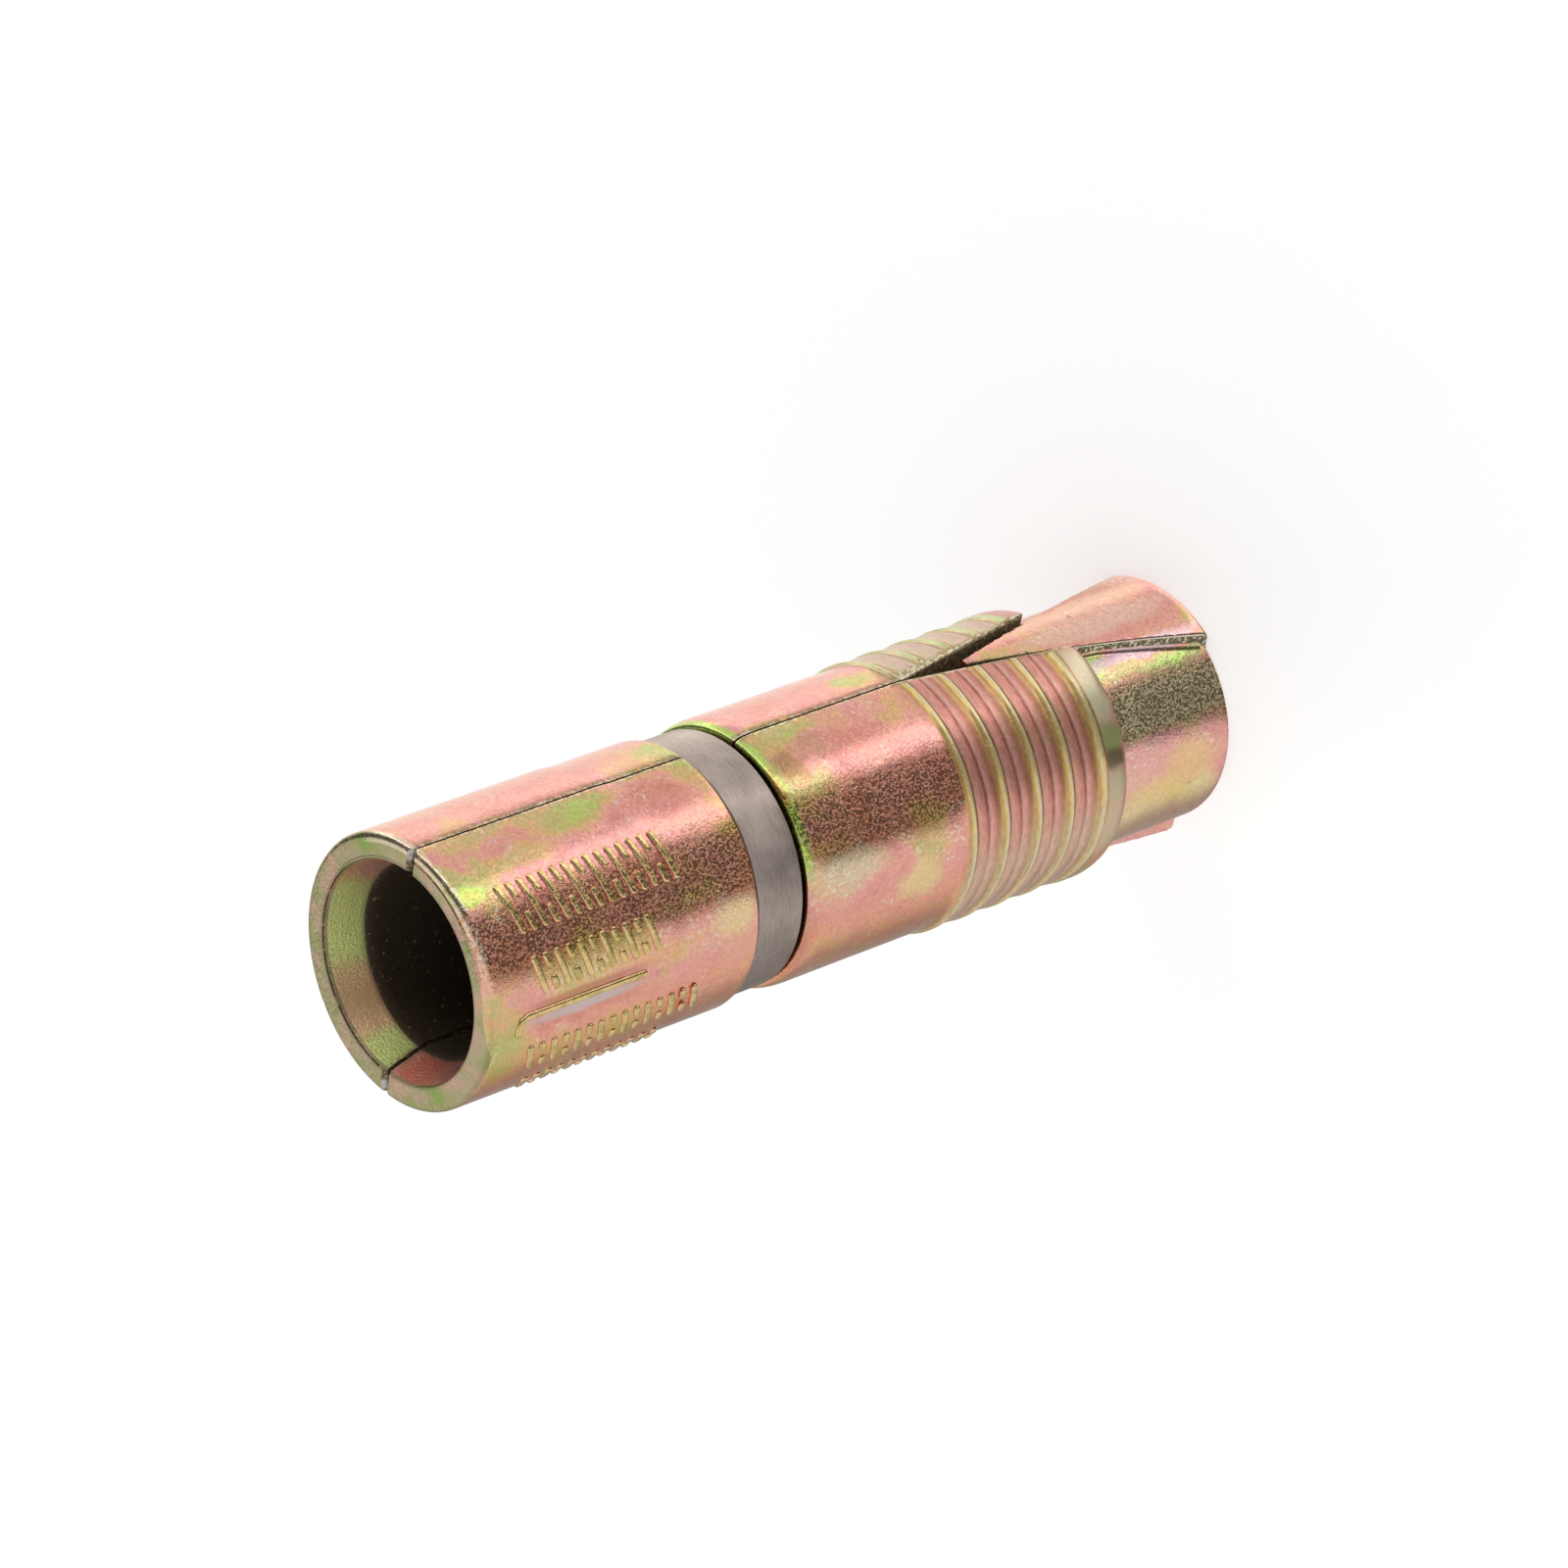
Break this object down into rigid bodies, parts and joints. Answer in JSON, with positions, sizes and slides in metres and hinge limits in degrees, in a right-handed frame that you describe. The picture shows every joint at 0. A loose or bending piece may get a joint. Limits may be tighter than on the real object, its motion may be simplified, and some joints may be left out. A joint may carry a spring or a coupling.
{
  "type": "expansion anchor",
  "caption": "Split expansion anchor: two ribbed half shells held by a steel band round a winged cone nut that a bolt draws up to spread them.",
  "frame": {"origin": "centre of the cone nut's lower face, on the anchor's axis", "axes": "+Z along the axis up to the mouth where the bolt goes in; the seam between the shells lies in the YZ plane and the front shell is on the +X side"},
  "size_m": [0.0158, 0.0158, 0.0553],
  "materials": {
    "shell_plating": "iridescent yellow chromate on cast zinc, satin with a fine grain",
    "nut_plating": "iridescent yellow chromate on cast zinc, mottled pink, orange and green",
    "band_steel": "bare rolled steel strip with soft streaks"
  },
  "bodies": {
    "nut": {"cone_nut": "nut_plating"},
    "band": {"retaining_band": "band_steel"},
    "front_shell": {"shell_half_front": "shell_plating"},
    "back_shell": {"shell_half_back": "shell_plating"}
  },
  "joints": [
    {"name": "draw_in", "type": "slide", "parent": "nut", "child": "band", "axis": [0, 0, -1], "range_m": [0, 0.003]},
    {"name": "front_spread", "type": "hinge", "parent": "band", "child": "front_shell", "pos_m": [0, 0, 0.0553], "axis": [0, -1, 0], "range_deg": [0, 0.52]},
    {"name": "back_spread", "type": "hinge", "parent": "band", "child": "back_shell", "pos_m": [0, 0, 0.0553], "axis": [0, 1, 0], "range_deg": [0, 0.52]}
  ],
  "couplings": [
    {"joint": "front_spread", "follows": "draw_in", "rad_per_m": 3},
    {"joint": "back_spread", "follows": "draw_in", "rad_per_m": 3}
  ]
}
